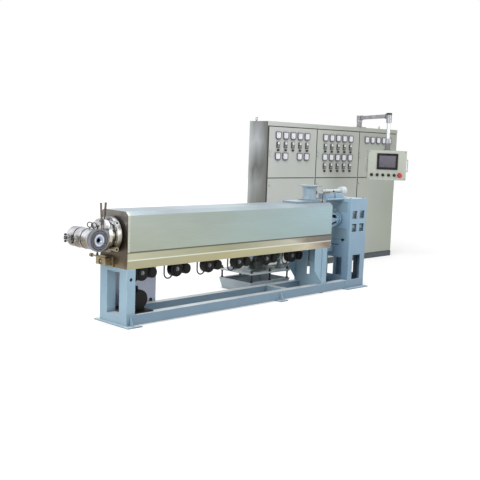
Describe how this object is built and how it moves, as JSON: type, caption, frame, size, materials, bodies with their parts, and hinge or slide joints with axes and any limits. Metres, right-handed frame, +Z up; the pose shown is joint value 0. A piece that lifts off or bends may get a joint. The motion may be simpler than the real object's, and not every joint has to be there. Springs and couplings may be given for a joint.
{
  "type": "plastic extruder",
  "caption": "Single-screw plastic extruder on a welded frame with covered barrel, crosshead die, gearbox and motor, and a control cabinet with opening lower doors and a swinging panel",
  "frame": {"origin": "on the floor under the screw axis, at the centre of the front foot's anchor holes", "axes": "+X runs from the die to the gearbox along the screw axis, +Y towards the control cabinet, +Z up"},
  "size_m": [8.238, 2.275, 2.625],
  "materials": {
    "blue_paint": "satin machine enamel",
    "stainless_cover": "brushed stainless sheet",
    "end_steel": "brushed stainless, warm reflections",
    "machined_steel": "turned and ground steel",
    "barrel_steel": "nitrided steel",
    "black_enamel": "black enamel",
    "rubber_lead": "grey rubber lead",
    "plate_paint": "pale grey enamel",
    "stud_steel": "blackened steel",
    "motor_green": "grey-green motor enamel",
    "terminal_green": "dark green enamel",
    "case_paint": "gearbox enamel in shade",
    "pale_enamel": "pale enamel",
    "bracket_steel": "plated steel",
    "cabinet_grey": "pebble grey powder coat",
    "plinth_slate": "slate powder coat",
    "zinc": "galvanised sheet",
    "instrument_black": "moulded instrument cases",
    "arm_metal": "satin tube"
  },
  "bodies": {
    "root": {"front_stand": "blue_paint", "front_foot": "blue_paint", "side_plate": "blue_paint", "rail_near": "blue_paint", "rail_far": "blue_paint", "cross_tubes": "blue_paint", "rail_feet": "blue_paint", "feed_stand": "blue_paint", "hood_cover": "stainless_cover", "hood_tray": "stainless_cover", "hood_end_front": "end_steel", "hood_end_rear": "stainless_cover", "hood_trim": "stainless_cover", "barrel": "barrel_steel", "screw_shank": "barrel_steel", "blower_1": "black_enamel", "blower_2": "black_enamel", "blower_3": "black_enamel", "blower_4": "black_enamel", "blower_5": "black_enamel", "blower_6": "black_enamel", "blower_leads": "rubber_lead", "stand_pump": "black_enamel", "motor_base": "blue_paint", "motor_slide_plate": "plate_paint", "motor_studs": "stud_steel", "motor_frame": "motor_green", "motor_bells": "blue_paint", "motor_terminal_box": "terminal_green", "belt_guard": "blue_paint", "lantern": "blue_paint", "gearbox_stand": "blue_paint", "gearbox_case": "case_paint", "gearbox_foot": "blue_paint", "feed_throat": "machined_steel", "lube_unit": "pale_enamel", "top_boxes": "blue_paint", "crosshead_body": "machined_steel", "crosshead_face": "machined_steel", "crosshead_bands": "machined_steel", "crosshead_adapter": "machined_steel", "head_flange": "machined_steel", "melt_probes": "machined_steel", "centering_bolts": "stud_steel", "die_bracket": "bracket_steel", "cabinet_shell": "cabinet_grey", "cabinet_front": "cabinet_grey", "cabinet_plinth": "plinth_slate", "upper_doors": "cabinet_grey", "door_pivots": "zinc", "mounting_plates": "zinc", "panel_instruments": "instrument_black", "arm_base": "cabinet_grey"},
    "lower_door_1": {"lower_door_1": "cabinet_grey"},
    "lower_door_2": {"lower_door_2": "cabinet_grey"},
    "lower_door_3": {"lower_door_3": "cabinet_grey"},
    "pendant_arm": {"pendant_arm": "arm_metal"},
    "operator_panel": {"panel_case": "cabinet_grey", "panel_fascia": "instrument_black", "panel_handles": "arm_metal"}
  },
  "joints": [
    {"name": "lower_door_1_hinge", "type": "hinge", "parent": "root", "child": "lower_door_1", "pos_m": [5.104, 1.45985, 0.8], "axis": [0, 0, 1], "range_deg": [0, 90]},
    {"name": "lower_door_2_hinge", "type": "hinge", "parent": "root", "child": "lower_door_2", "pos_m": [6.304, 1.45985, 0.8], "axis": [0, 0, 1], "range_deg": [0, 90]},
    {"name": "lower_door_3_hinge", "type": "hinge", "parent": "root", "child": "lower_door_3", "pos_m": [7.504, 1.45985, 0.8], "axis": [0, 0, 1], "range_deg": [0, 90]},
    {"name": "pendant_swing", "type": "hinge", "parent": "root", "child": "pendant_arm", "pos_m": [6.47, 1.58, 2.575], "axis": [0, 0, 1], "range_deg": [-30, 80]},
    {"name": "panel_turn", "type": "hinge", "parent": "pendant_arm", "child": "operator_panel", "pos_m": [5.875, 0.54943, 2], "axis": [0, 0, 1], "range_deg": [-45, 45]}
  ]
}
